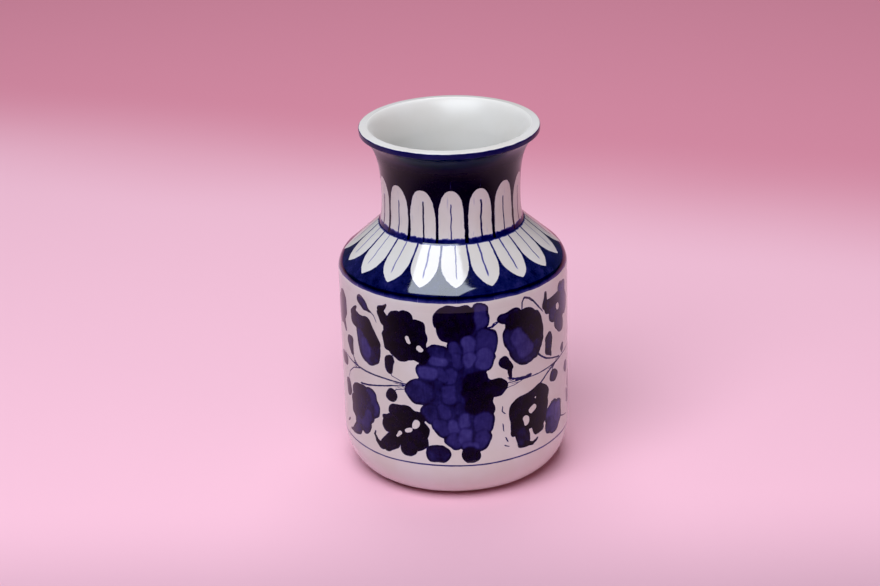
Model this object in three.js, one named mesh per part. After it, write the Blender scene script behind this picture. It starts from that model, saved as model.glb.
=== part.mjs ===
// A hand-painted pottery vase: a straight-sided body on a rounded heel, a sloping shoulder, a short
// neck and a flared rim. A potter throws it as six clay sections, seats each one on the section below
// in a stepped joint, and lutes them with slip before the firing.
// Millimetres, +Z up. The origin is the middle of the foot, on the surface the vase stands on.
import * as THREE from "three";

// How tall each stretch of the outside is, from the foot up.
const footShows = 1.2; // the foot ring shows this much below the heel
const heelRise = 19;
const wallRise = 72.5; // the straight wall, up to where it turns in
const shoulderRise = 21.3; // from the turn to the crease at the foot of the neck
const neckRise = 13; // from the crease to the waist of the neck
const flareRise = 27.2; // from the waist to the edge of the lip
const lipRise = 2.9; // from there to the crown of the lip

// Outside radii.
const bodyRadius = 50;
const footRadius = 38;
const neckRadius = 30; // at the waist
const mouthRadius = 38.8;
const crownRadius = 35.4; // the highest ring of the lip, which slopes gently from here to its edge
const creaseSpread = 1.2; // how far the neck spreads at its foot

// Clay thicknesses.
const bodyWall = 4.5;
const neckWall = 4;
const floorThickness = 6;
const footRingWidth = 6;

// Rounded corners.
const shoulderRound = 10; // where the wall turns into the slope
const insideRound = 12; // where the floor turns up into the wall
const crownRound = 2;
const edgeRound = 0.7; // the outer edge of the lip
const footRound = 0.6;

// The stepped joints between the sections.
const stepHeight = 1.6; // how far the inner half of a joint stands above its ledge
const slipFilm = 0.3; // room for the slip, everywhere but on the ledge
const jointToCurve = 0.7; // straight wall left between a joint and the next curve
const rimJointAt = 0.4; // how far along the flare the rim is joined on

// How finely the round shapes are divided.
const turns = 48;
const curveSteps = 4;
const samePoint = 0.01;

// The shape of the lip, and of the mouth inside it.
const lipFace = 1.45; // the upright outer face of the lip, between its two rounds
const crownReach = 2.4; // handle of the inside curve where it leaves the crown, level
const mouthReach = 5.7; // handle of the inside curve where it leaves the joint, along the neck

// The heights that the stretches add up to.
const heelTop = footShows + heelRise;
const turnStart = heelTop + wallRise;
const creaseHeight = turnStart + shoulderRise;
const waistHeight = creaseHeight + neckRise;
const lipEdge = waistHeight + flareRise;
const overallHeight = lipEdge + lipRise;
const creaseRadius = neckRadius + creaseSpread;

const fired = (color, roughness) => new THREE.MeshStandardMaterial({ color, roughness, metalness: 0 });
const bareClay = fired(0xc9b79c, 0.85);
const whiteGlaze = fired(0xdad6d0, 0.15);
const floralGlaze = fired(0x8c8aa6, 0.15);
const petalGlaze = fired(0x9a9cbe, 0.15);
const cobaltGlaze = fired(0x14144a, 0.15);

const at = (radius, height) => new THREE.Vector2(radius, height);

// The points along a stretch of an outline, with curve(0) and curve(1) as its ends.
function along(curve, steps = curveSteps) {
  return Array.from({ length: steps + 1 }, (_, step) => curve(step / steps));
}

// A round corner about a centre, from one angle to another.
function corner(centre, radius, from, to) {
  return along((share) => {
    const angle = from + (to - from) * share;
    return at(centre.x + radius * Math.cos(angle), centre.y + radius * Math.sin(angle));
  });
}

// One solid of revolution about +Z. Its outline runs up the outside and down the inside, and a point
// where two stretches meet is given by both. An outline that starts on the axis also ends on it.
function turned(name, material, outline) {
  const points = outline.filter((point, index) => point.distanceTo(outline.at(index - 1)) > samePoint);
  const closed = points[0].x > 0 ? [...points, points[0]] : points;
  const shape = new THREE.LatheGeometry(closed, turns);
  shape.rotateX(Math.PI / 2);
  const section = new THREE.Mesh(shape, material);
  section.name = name;
  return section;
}

// A joint is known by its ledge: its outer and inner radius and its height.
const joint = (outer, wall, height) => ({ outer, inner: outer - wall, middle: outer - wall / 2, height });
const footJoint = joint(footRadius, footRingWidth, footShows);
const heelJoint = joint(bodyRadius, bodyWall, heelTop + jointToCurve);
const shoulderJoint = joint(bodyRadius, bodyWall, turnStart - jointToCurve - stepHeight);
const neckJoint = joint(creaseRadius, neckWall, creaseHeight);
const rimJoint = joint(flare(rimJointAt).x, neckWall, flare(rimJointAt).y);

// The top of the lower section: a ledge, then a collar that stands up on its inner half.
function collar({ outer, middle, inner, height }) {
  const top = height + stepHeight - slipFilm;
  return [at(outer, height), at(middle, height), at(middle, top), at(inner, top)];
}

// The bottom of the upper section: it rests on the ledge and clears the collar by the slip film.
function socket({ outer, middle, inner, height }) {
  const top = height + stepHeight;
  return [at(inner, top), at(middle + slipFilm, top), at(middle + slipFilm, height), at(outer, height)];
}

// The outside of the neck above its waist, at a share of the way to the edge of the lip.
function flare(share) {
  const edge = at(mouthRadius - edgeRound * (1 - Math.SQRT1_2), lipEdge);
  const opening = new THREE.CubicBezierCurve(
    at(neckRadius, waistHeight),
    at(neckRadius + 0.2, waistHeight + 0.55 * flareRise),
    at(neckRadius + 2.2, lipEdge - 0.155 * flareRise),
    edge,
  );
  return opening.getPoint(share);
}

// The outside of the neck below its waist, at a share of the way from the crease.
const neckFoot = (share) => at(neckRadius + creaseSpread * (1 - share) ** 3, creaseHeight + neckRise * share);

// The same stretch of outline on the inside of the neck.
const insideOf = (stretch) => stretch.map((point) => at(point.x - neckWall, point.y)).reverse();

function footRing() {
  const { inner } = footJoint;
  return turned("foot_ring", bareClay, [
    at(inner + footRound, 0),
    at(footRadius - footRound, 0),
    at(footRadius, footRound),
    ...collar(footJoint),
    at(inner, footRound),
  ]);
}

// The floor and the rounded heel.
function base() {
  const floorBottom = footShows + stepHeight;
  const floorTop = floorBottom + floorThickness;
  const heel = along((share) => {
    const angle = (share * Math.PI) / 2;
    return at(
      footRadius + (bodyRadius - footRadius) * Math.sin(angle),
      footShows + heelRise * (1 - Math.cos(angle)),
    );
  }, 2 * curveSteps);
  const round = Math.min(insideRound, heelJoint.height - floorTop);
  const roundCentre = at(heelJoint.inner - round, floorTop + round);
  return turned("base", whiteGlaze, [
    at(0, floorBottom),
    ...socket(footJoint).slice(1, 3),
    ...heel,
    ...collar(heelJoint),
    ...corner(roundCentre, round, 0, -Math.PI / 2),
    at(0, floorTop),
  ]);
}

function bodySection() {
  return turned("body", floralGlaze, [...collar(shoulderJoint), ...socket(heelJoint)]);
}

// The wall turns in on a round corner, and then slopes straight to the crease.
function shoulder() {
  const centre = at(bodyRadius - shoulderRound, turnStart);
  const toCrease = at(creaseRadius, creaseHeight).sub(centre);
  const slope = toCrease.angle() - Math.acos(shoulderRound / toCrease.length());
  const inner = at(creaseRadius - bodyWall * Math.cos(slope), creaseHeight - bodyWall * Math.sin(slope));
  const rise = (inner.x - neckJoint.inner) / Math.tan(slope);
  return turned("shoulder", petalGlaze, [
    ...corner(centre, shoulderRound, 0, slope),
    ...collar(neckJoint),
    at(neckJoint.inner, inner.y + rise),
    ...corner(centre, shoulderRound - bodyWall, slope, 0),
    ...socket(shoulderJoint),
  ]);
}

function neck() {
  const foot = along(neckFoot);
  const waist = along((share) => flare(share * rimJointAt));
  return turned("neck", petalGlaze, [
    ...foot,
    ...waist,
    ...collar(rimJoint),
    ...insideOf(waist),
    ...socket(neckJoint),
  ]);
}

// The lip has a small round at its outer edge and a larger one at its crown, with a slope that
// touches both. Inside, the mouth narrows in one curve from the crown down to the joint.
function rim() {
  const flared = along((share) => flare(rimJointAt + (1 - rimJointAt) * share));
  const lowEdge = at(mouthRadius - edgeRound, lipEdge + edgeRound * Math.SQRT1_2);
  const edge = at(lowEdge.x, lowEdge.y + lipFace);
  const crown = at(crownRadius, overallHeight - crownRound);
  const toEdge = edge.clone().sub(crown);
  const slope = Math.atan2(toEdge.y, toEdge.x) + Math.acos((crownRound - edgeRound) / toEdge.length());
  const top = at(crown.x, overallHeight);
  const bottom = socket(rimJoint)[0];
  const upward = flare(rimJointAt + 0.01).sub(flare(rimJointAt)).normalize();
  const mouth = new THREE.CubicBezierCurve(
    top,
    at(top.x - crownReach, top.y),
    bottom.clone().addScaledVector(upward, mouthReach),
    bottom,
  );
  return turned("rim", cobaltGlaze, [
    ...flared,
    ...corner(lowEdge, edgeRound, -Math.PI / 4, 0),
    ...corner(edge, edgeRound, 0, slope),
    ...corner(crown, crownRound, slope, Math.PI / 2),
    ...along((share) => mouth.getPoint(share)),
    ...socket(rimJoint),
  ]);
}

const vase = new THREE.Group();
vase.add(footRing(), base(), bodySection(), shoulder(), neck(), rim());

export default vase;
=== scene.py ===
# %% [markdown]
# # A hand-painted pottery vase
#
# This small vase is thrown in six clay sections, luted together, dipped in white glaze, painted with
# cobalt and fired until it shines. In Blender we turn each section again, much finer than the plain solids
# of the frame, and then spend most of the effort on the painting: rows of petals on the neck and the
# shoulder, and free brushwork on the body.
#
# The frame is loaded first. It gives the size of every section, and each new piece goes
# exactly where the old one was.

# %% Open the frame
import math

import bmesh
import bpy
import numpy as np
from mathutils import Matrix, Vector


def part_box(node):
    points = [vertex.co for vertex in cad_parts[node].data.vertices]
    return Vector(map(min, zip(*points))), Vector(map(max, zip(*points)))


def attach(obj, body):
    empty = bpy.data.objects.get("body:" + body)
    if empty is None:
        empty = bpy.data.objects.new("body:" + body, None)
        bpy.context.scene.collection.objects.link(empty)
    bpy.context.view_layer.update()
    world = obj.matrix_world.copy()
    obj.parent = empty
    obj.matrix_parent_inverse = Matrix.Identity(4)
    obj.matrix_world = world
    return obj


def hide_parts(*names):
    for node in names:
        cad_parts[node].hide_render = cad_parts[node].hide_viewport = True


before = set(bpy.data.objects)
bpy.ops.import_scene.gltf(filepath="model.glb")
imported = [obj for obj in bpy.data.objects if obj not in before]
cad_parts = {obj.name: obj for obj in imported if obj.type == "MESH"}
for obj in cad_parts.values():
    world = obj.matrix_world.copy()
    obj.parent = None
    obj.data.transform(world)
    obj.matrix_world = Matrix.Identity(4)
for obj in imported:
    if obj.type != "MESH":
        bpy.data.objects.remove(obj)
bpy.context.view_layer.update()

MM = 0.001

# %% [markdown]
# ## The camera
#
# A long lens about a metre away keeps the sides of a vase this size nearly parallel. The camera looks
# down by 23 degrees, far enough to see into the mouth, and it is held a little out of level. We build
# its three axes from those angles instead of turning it by hand, so that the view stays exact.

# %% Camera
LOOK_DOWN = math.radians(23.18)
OUT_OF_LEVEL = math.radians(-1.64)
DISTANCE = 1.0
LENS, SENSOR_WIDTH = 93.07, 36  # millimetres
AIM = Vector((-5.93, 0, 78.4)) * MM

back = Vector((0, -math.cos(LOOK_DOWN), math.sin(LOOK_DOWN)))
level = Vector((1, 0, 0))
upright = Vector((0, math.sin(LOOK_DOWN), math.cos(LOOK_DOWN)))
right = level * math.cos(OUT_OF_LEVEL) + upright * math.sin(OUT_OF_LEVEL)
above = upright * math.cos(OUT_OF_LEVEL) - level * math.sin(OUT_OF_LEVEL)

camera = bpy.data.objects.new("camera", bpy.data.cameras.new("camera"))
camera.data.lens = LENS
camera.data.sensor_width = SENSOR_WIDTH
turn = Matrix((right, above, back)).transposed()
camera.matrix_world = Matrix.Translation(AIM + back * DISTANCE) @ turn.to_4x4()
bpy.context.scene.collection.objects.link(camera)
bpy.context.scene.camera = camera
print("the camera stands", round(camera.location.z / MM), "mm above the table")

# %% [markdown]
# ## Shader maths as plain expressions
#
# A procedural material is a long sum, and drawing it with one node after another hides the sum. This
# small class wraps a socket. When two of them are added, or one is divided by a number, it adds the
# Math node and returns its output, so the painting below reads like ordinary Python.

# %% A socket that can be used in a sum
def operator(operation, turned=False):
    """A method that adds one Math node; turned swaps its two numbers."""
    def method(self, other):
        pair = (other, self) if turned else (self, other)
        return self.maths(operation, *pair)
    return method


class Value:
    def __init__(self, tree, socket):
        self.tree = tree
        self.socket = socket

    def node(self, kind, settings=(), inputs=(), output=0):
        """Adds a node: its settings are set first, then its sockets are linked or filled."""
        made = self.tree.nodes.new(kind)
        for name, setting in dict(settings).items():
            if name == "stops":
                set_stops(made.color_ramp, setting)
            else:
                setattr(made, name, setting)
        for name, value in dict(inputs).items():
            if isinstance(value, Value):
                self.tree.links.new(value.socket, made.inputs[name])
            else:
                made.inputs[name].default_value = value
        return Value(self.tree, made.outputs[output])

    def maths(self, operation, *values):
        return self.node("ShaderNodeMath", {"operation": operation}, enumerate(values))

    def vector_maths(self, operation, *values, output=0):
        return self.node("ShaderNodeVectorMath", {"operation": operation}, enumerate(values), output)

    __add__ = __radd__ = operator("ADD")
    __sub__ = operator("SUBTRACT")
    __rsub__ = operator("SUBTRACT", turned=True)
    __mul__ = __rmul__ = operator("MULTIPLY")
    __truediv__ = operator("DIVIDE")
    __pow__ = operator("POWER")
    least = operator("MINIMUM")
    most = operator("MAXIMUM")

    def between(self, low, high):
        """0 below low, 1 above high, and a smooth step between."""
        settings = {"interpolation_type": "SMOOTHSTEP"}
        return self.node("ShaderNodeMapRange", settings, {"Value": self, "From Min": low, "From Max": high})

    def size(self):
        return self.maths("ABSOLUTE", self)


def set_stops(ramp, stops):
    """Gives a colour ramp its stops: a list of (position, colour)."""
    while len(ramp.elements) < len(stops):
        ramp.elements.new(1)
    for element, (position, colour) in zip(ramp.elements, stops):
        element.position = position
        element.color = (*colour, 1)

# %% [markdown]
# ## Where a brush is on the vase
#
# A painter works round the vase and up and down it. So the painting is laid out in those terms: the
# angle from the front, positive to the right, and the height above the table. Object coordinates give
# both, because the vase stands on the origin.

# %% A material and its places
class Glaze:
    """A material being made: its node tree, and the places on the vase that its patterns follow."""

    def __init__(self, name):
        self.material = bpy.data.materials.new(name)
        self.material.use_nodes = True
        self.tree = self.material.node_tree
        self.shader = self.tree.nodes["Principled BSDF"]
        start = Value(self.tree, None)
        metres = start.node("ShaderNodeTexCoord", output="Object")
        self.place = metres.vector_maths("MULTIPLY", metres, (1000, 1000, 1000))
        split = self.place.node("ShaderNodeSeparateXYZ", inputs={"Vector": self.place}, output="Z")
        self.height = split
        x = Value(self.tree, split.socket.node.outputs["X"])
        y = Value(self.tree, split.socket.node.outputs["Y"])
        self.radius = (x * x + y * y) ** 0.5
        self.angle = x.maths("ARCTAN2", x, 0 - y) * (180 / math.pi)

    def noise(self, size, detail=2, stretch=(1, 1, 1), roughness=0.5):
        """Noise whose blotches are about size millimetres across, centred on 0."""
        place = self.place.vector_maths("MULTIPLY", self.place, stretch)
        inputs = {"Vector": place, "Scale": 1 / size, "Detail": detail, "Roughness": roughness}
        return self.place.node("ShaderNodeTexNoise", inputs=inputs) - 0.5

    def chance(self, number, seed):
        """The same random number from 0 to 1 wherever number is the same."""
        settings = {"noise_dimensions": "2D"}
        pair = number.node("ShaderNodeCombineXYZ", inputs={"X": number, "Y": seed})
        return number.node("ShaderNodeTexWhiteNoise", settings, {"Vector": pair})

    def attribute(self, name):
        return self.place.node("ShaderNodeAttribute", {"attribute_name": name}, output="Fac")

    def blend(self, mask, first, second):
        """The first colour where mask is 0, the second where it is 1."""
        first, second = (c if isinstance(c, Value) else (*c, 1) for c in (first, second))
        colours = {0: mask, 6: first, 7: second}
        return mask.node("ShaderNodeMix", {"data_type": "RGBA"}, colours, output=2)

    def feed(self, name, value):
        self.tree.links.new(value.socket, self.shader.inputs[name])

# %% [markdown]
# ## White glaze and cobalt
#
# Cobalt is painted on the raw white glaze as a thin wash. Where the brush carries little, the fired
# colour is a pale lavender blue; where strokes overlap or the brush rests, it goes through
# cobalt to a navy so dark that it looks black. One number, the load of pigment, therefore gives the
# colour everywhere, through a single colour ramp.

# %% The colours of the glaze
WHITE = (0.69, 0.66, 0.65)
CREAM = (0.62, 0.56, 0.50)
IRON = (0.25, 0.18, 0.12)
DRAINED_WHITE = (0.69, 0.655, 0.625)
PIGMENT = [
    (0.00, WHITE),
    (0.10, (0.36, 0.34, 0.50)),
    (0.20, (0.13, 0.115, 0.32)),
    (0.33, (0.052, 0.043, 0.210)),
    (0.46, (0.028, 0.021, 0.135)),
    (0.62, (0.013, 0.009, 0.070)),
    (0.80, (0.008, 0.003, 0.024)),
    (1.00, (0.006, 0.003, 0.009)),
]
FULL_LOAD = 1.4  # the load at the ramp's last stop

# How strongly the glaze bends light: its index of refraction. The more it bends light, the more it
# mirrors. The painted walls mirror little, and the shoulder mirrors most.
GLAZE_BENDS_LIGHT = 1.5
WALL_GLAZE_BENDS = 1.34
SHOULDER_GLAZE_BENDS = 1.62
GLOSS, INSIDE_GLOSS = 0.07, 0.30  # roughness outside and inside
WAVES, ORANGE_PEEL, TURNING_RINGS = 0.030, 0.0016, 0.006  # how high each ripple stands, in millimetres


def white_ground(glaze):
    """The bare white glaze: warmer and cooler in places, with the odd iron speck."""
    mottle = glaze.noise(22, detail=3).between(-0.2, 0.2)
    ground = glaze.blend(mottle * 0.5, WHITE, CREAM)
    specks = glaze.noise(1.1, detail=1).between(0.31, 0.36)
    return glaze.blend(specks * 0.35, ground, IRON)


def painted(glaze, load):
    """The white ground under a wash of cobalt of the given load."""
    pigment = load.node("ShaderNodeValToRGB", {"stops": PIGMENT}, {"Fac": load / FULL_LOAD})
    bare = 1 - load.between(0.0, 0.14)
    return glaze.blend(bare, pigment, white_ground(glaze))


def finish(glaze, colour, ripple=1.0, roughness=GLOSS, bends=GLAZE_BENDS_LIGHT):
    """The gloss over a colour, never quite even."""
    glaze.feed("Base Color", colour)
    glaze.shader.inputs["IOR"].default_value = bends
    breath = glaze.noise(9, detail=3)
    glaze.feed("Roughness", (breath * 0.06 + roughness).most(0.03))
    waves = glaze.noise(11, detail=2, stretch=(1, 1, 1.6)) * WAVES * ripple
    orange_peel = glaze.noise(1.6, detail=1) * ORANGE_PEEL * ripple
    turning_rings = glaze.noise(2.4, detail=1, stretch=(0.02, 0.02, 1)) * TURNING_RINGS * ripple
    surface = waves + orange_peel + turning_rings
    bump = {"Height": surface, "Distance": MM, "Strength": 1.0}
    glaze.feed("Normal", surface.node("ShaderNodeBump", inputs=bump))
    return glaze.material


def white_glaze():
    """The plain glaze inside. It is poured in and drained out, so it sets softer, and warmer."""
    glaze = Glaze("white_glaze")
    colour = glaze.blend(glaze.noise(30) * 0.5 + 0.45, white_ground(glaze), DRAINED_WHITE)
    return finish(glaze, colour, roughness=INSIDE_GLOSS)


print("the ramp has", len(PIGMENT), "stops from white to black-blue")

# %% [markdown]
# ## Turning a section
#
# Every section is a solid of revolution, as it is on the wheel. The outline of its wall is drawn once, as
# a short closed chain of edges beside the axis, and bmesh's spin sweeps it round. That beats carving a
# cylinder, because the outline is exactly what a potter's rib would shape. A full spin needs
# use_merge, so that the last ring joins the first.
#
# The outline comes in named stretches, such as outside and inside. Each face remembers its stretch by
# taking the stretch's material.

# %% Outlines
def arc(centre, radius, start, end, steps):
    """Points of a round corner, with its angles in degrees."""
    turns = np.radians(np.linspace(start, end, steps + 1))
    return [(centre[0] + radius * math.cos(turn), centre[1] + radius * math.sin(turn)) for turn in turns]


def straight(start, end, steps):
    """Points along a straight stretch."""
    shares = np.linspace(0, 1, steps + 1)
    return [(start[0] + (end[0] - start[0]) * s, start[1] + (end[1] - start[1]) * s) for s in shares]


def bezier(points, start, end, steps):
    """Points along part of a cubic curve, from one share of it to another."""
    a, b, c, d = (np.array(point) for point in points)
    shares = np.linspace(start, end, steps + 1)[:, None]
    curve = (1 - shares) ** 3 * a + 3 * (1 - shares) ** 2 * shares * b
    curve = curve + 3 * (1 - shares) * shares ** 2 * c + shares ** 3 * d
    return [tuple(point) for point in curve]


def moved_in(points, wall):
    """The same stretch on the inside of a wall, from its other end."""
    return [(radius - wall, height) for radius, height in reversed(points)]

# %% Spinning an outline
AXIS = Vector((0, 0, 1))
SHARP_EDGE = math.radians(24)
SAME_POINT = 1e-4  # millimetres


def spin(name, node, stretches, steps):
    """Turns one section from its stretches, a list of (material, points in millimetres)."""
    points, owners = [], []
    for index, (_, stretch) in enumerate(stretches):
        for point in stretch:
            if points and math.dist(point, points[-1]) < SAME_POINT:
                owners[-1] = index
            else:
                points.append(point)
                owners.append(index)
    if math.dist(points[0], points[-1]) < SAME_POINT:
        points.pop()
    solid = points[0][0] < SAME_POINT  # such an outline starts and ends on the axis
    section = bmesh.new()
    ring = [section.verts.new((radius * MM, 0, height * MM)) for radius, height in points]
    pairs = list(zip(ring, ring[1:])) + ([] if solid else [(ring[-1], ring[0])])
    edges = [section.edges.new(pair) for pair in pairs]
    bmesh.ops.spin(section, geom=ring + edges, cent=(0, 0, 0), axis=AXIS, angle=math.tau,
                   steps=steps, use_merge=True)
    bmesh.ops.remove_doubles(section, verts=section.verts, dist=SAME_POINT * MM)
    bmesh.ops.recalc_face_normals(section, faces=section.faces)
    mesh = bpy.data.meshes.new(name)
    section.to_mesh(mesh)
    section.free()
    piece = bpy.data.objects.new(name, mesh)
    bpy.context.scene.collection.objects.link(piece)
    place_on_outline(mesh, points, owners, stretches, solid)
    mesh.shade_smooth()
    mesh.set_sharp_from_angle(angle=SHARP_EDGE)
    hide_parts(node)
    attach(piece, "root")
    print(f"{name}: {len(mesh.polygons)} faces, {'closed' if closed(mesh) else 'OPEN'}")
    return piece


def closed(mesh):
    """True if every edge of a mesh lies between exactly two faces."""
    uses = np.zeros(len(mesh.edges), int)
    loops = np.empty(len(mesh.loops), int)
    mesh.loops.foreach_get("edge_index", loops)
    np.add.at(uses, loops, 1)
    return bool((uses == 2).all())

# %% [markdown]
# ## An even map for the bake
#
# A material that is painted by formulas can be saved later as a flat texture, and that needs a map from
# the surface to the texture. The best map of a turned pot is its unrolled wall: the angle goes across, and
# the distance along the outline goes up. The wall is cut into two halves that are stacked, which
# doubles the detail round the vase.

# %% The unrolled wall
MAP = "OFBake"
GAP_BETWEEN_HALVES = 0.01


def places_of(mesh):
    """The radius, height and angle in degrees of every point of a mesh, in millimetres."""
    places = np.empty(len(mesh.vertices) * 3)
    mesh.vertices.foreach_get("co", places)
    x, y, z = places.reshape(-1, 3).T / MM
    return np.hypot(x, y), z, np.degrees(np.arctan2(x, -y))


def place_on_outline(mesh, points, owners, stretches, solid):
    """Gives each face the material of its stretch, and the map its unrolled wall."""
    for material, _ in stretches:
        if material.name not in mesh.materials:
            mesh.materials.append(material)
    slots = [mesh.materials.find(stretches[owner][0].name) for owner in owners]
    ends = points[1:] + ([] if solid else points[:1])
    starts = np.array(points[:len(ends)])
    ends = np.array(ends)
    middles = (starts + ends) / 2
    along = np.concatenate([[0], np.cumsum(np.linalg.norm(ends - starts, axis=1))])
    along = along / along[-1]
    radius, height, angle = places_of(mesh)
    loop_points = np.empty(len(mesh.loops), int)
    mesh.loops.foreach_get("vertex_index", loop_points)
    sides = np.array([face.loop_total for face in mesh.polygons])
    firsts = np.concatenate([[0], np.cumsum(sides)[:-1]])
    face_of = np.repeat(np.arange(len(sides)), sides)
    loop_radius, loop_height = radius[loop_points], height[loop_points]
    face_radius = np.add.reduceat(loop_radius, firsts) / sides
    face_height = np.add.reduceat(loop_height, firsts) / sides
    face_radius = np.where(sides == 3, np.maximum.reduceat(loop_radius, firsts) / 2, face_radius)
    # The stretch of outline that a face was swept from is the one with the nearest middle.
    gaps = np.hypot(face_radius[:, None] - middles[:, 0], face_height[:, None] - middles[:, 1])
    piece_of = gaps.argmin(axis=1)
    mesh.polygons.foreach_set("material_index", np.array(slots)[piece_of])
    turn = np.radians(angle[loop_points])
    face_turn = np.arctan2(np.add.reduceat(np.sin(turn) * loop_radius, firsts),
                           np.add.reduceat(np.cos(turn) * loop_radius, firsts))
    offset = (turn - face_turn[face_of] + math.pi) % math.tau - math.pi
    offset = np.where(loop_radius < 1e-3, 0, offset)
    across = ((face_turn[face_of] / math.tau) % 1 + offset / math.tau) * 2
    half = (face_turn / math.tau % 1 >= 0.5)[face_of]
    step_of = piece_of[face_of]
    to_start = np.hypot(loop_radius - starts[step_of, 0], loop_height - starts[step_of, 1])
    to_end = np.hypot(loop_radius - ends[step_of, 0], loop_height - ends[step_of, 1])
    up = along[step_of + (to_end < to_start)]
    spread = (1 - 3 * GAP_BETWEEN_HALVES) / 2
    up = GAP_BETWEEN_HALVES + up * spread + half * (spread + GAP_BETWEEN_HALVES)
    across = np.where(half, across - 1, across)
    across = GAP_BETWEEN_HALVES + across * (1 - 2 * GAP_BETWEEN_HALVES)
    layer = mesh.uv_layers.new(name=MAP)
    layer.uv.foreach_set("vector", np.column_stack([across, up]).ravel())

# %% [markdown]
# ## Brush strokes as distances
#
# The flowers are painted freely, so no formula gives them. A painter builds each one from dabs: the
# brush is pressed down, which leaves a round end, and drawn away, which leaves a narrower one. We do
# the same. Every dab is two circles and the skin round them, and for each point of the wall we work
# out how far inside the nearest dab it is. That distance is stored on the mesh, and the shader turns it
# into a crisp edge, however coarse the mesh is.
#
# A dab is written as angle, height and radius at each end, and then its load of pigment. Angles
# are in degrees, the rest in millimetres.

# %% The central flower
DARK, DEEP, FULL, MIDDLE, THIN, PALE = 1.30, 1.02, 0.84, 0.70, 0.54, 0.62

# The wash under the whole flower, laid first. It shows dark between the petals.
UNDER_LOAD = 0.88
UNDER_FLOWER = [
    (-1, 85, 7, 9, 85, 6.3), (3, 77, 6.4, 13, 77, 6.2), (-8, 69, 4.8, 13, 69.5, 5.4),
    (-12, 62, 5.4, 8, 63, 6), (-17, 53.5, 6.2, 10, 54, 7), (-12, 44, 5.4, 12, 45, 5.6),
    (-7, 38, 5, 12, 38, 5.4), (0, 31.5, 4.6, 11, 31, 4.4),
]
FLOWER = [
    (-3, 87, 6.7, 0, 86.5, 7, DARK), (-3.5, 82.5, 5.4, 1, 80.5, 4.8, DARK),
    (12.1, 90.3, 4, 11.8, 85, 4.2, MIDDLE), (4.5, 90, 4.1, 5, 84, 4.3, DARK),
    (14.9, 77.2, 5.4, 14.5, 73.5, 5.1, MIDDLE), (14.2, 69.2, 4.8, 13.6, 66.6, 4.3, THIN),
    (6, 76.8, 3.9, 6.2, 73.6, 3.7, THIN), (6.6, 69.4, 3.6, 5.8, 66.8, 3.2, THIN),
    (-1, 75.4, 3.3, 0.4, 72, 2.9, MIDDLE), (0.2, 70.2, 2.7, 0.8, 66.2, 2.5, MIDDLE),
    (-11, 72.3, 3.5, -7.8, 72.2, 3.4, FULL), (-10.6, 68, 3.1, -6.4, 67.8, 3, THIN),
    (-2.4, 62.6, 3.4, -2.6, 60, 3.2, MIDDLE), (-8, 62.6, 3.2, -6.8, 60.8, 3.2, MIDDLE),
    (-15.4, 63, 4.1, -12.4, 62, 3.9, THIN), (-9.4, 57.4, 2.6, -7.6, 56.6, 2.6, FULL),
    (-19.2, 53.6, 6, -16.8, 53.4, 5.7, FULL), (-4, 54.2, 3.8, -3.6, 51, 3.7, MIDDLE),
    (-13.6, 44.4, 4.2, -12.2, 42.4, 4.3, FULL), (-6.6, 45.6, 3.4, -5.6, 43.2, 3.3, MIDDLE),
    (0.8, 46.4, 2.8, 1.8, 43.6, 2.7, FULL), (9.5, 53.5, 6.4, 11, 49.5, 6.2, DARK),
    (8, 58, 4.6, 11.5, 59.5, 3.6, DARK), (17, 54, 4.3, 21, 54, 4.2, DARK),
    (8, 46, 3.8, 15.8, 44.4, 2.9, DARK), (-8.6, 38.2, 4, -6.8, 36.2, 3.8, MIDDLE),
    (3.2, 41.2, 3.4, 3.6, 38.6, 3.2, THIN), (-2.4, 38.2, 3.1, -1.6, 35.6, 3.1, THIN),
    (13.2, 39.4, 5.2, 12.6, 37, 4.8, MIDDLE), (-2.6, 31.8, 3.6, -0.6, 29.6, 3.2, MIDDLE),
    (3.8, 33.4, 3.7, 3.6, 31, 3.5, THIN), (12.2, 31.6, 4.3, 11.6, 29.4, 4, MIDDLE),
    (5, 28, 3.1, 8, 27.6, 3, THIN), (-11.3, 24.4, 4.3, -8.3, 24.4, 4.2, DEEP),
    (6.2, 24, 4, 7, 23.8, 3.8, DARK),
]

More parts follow.
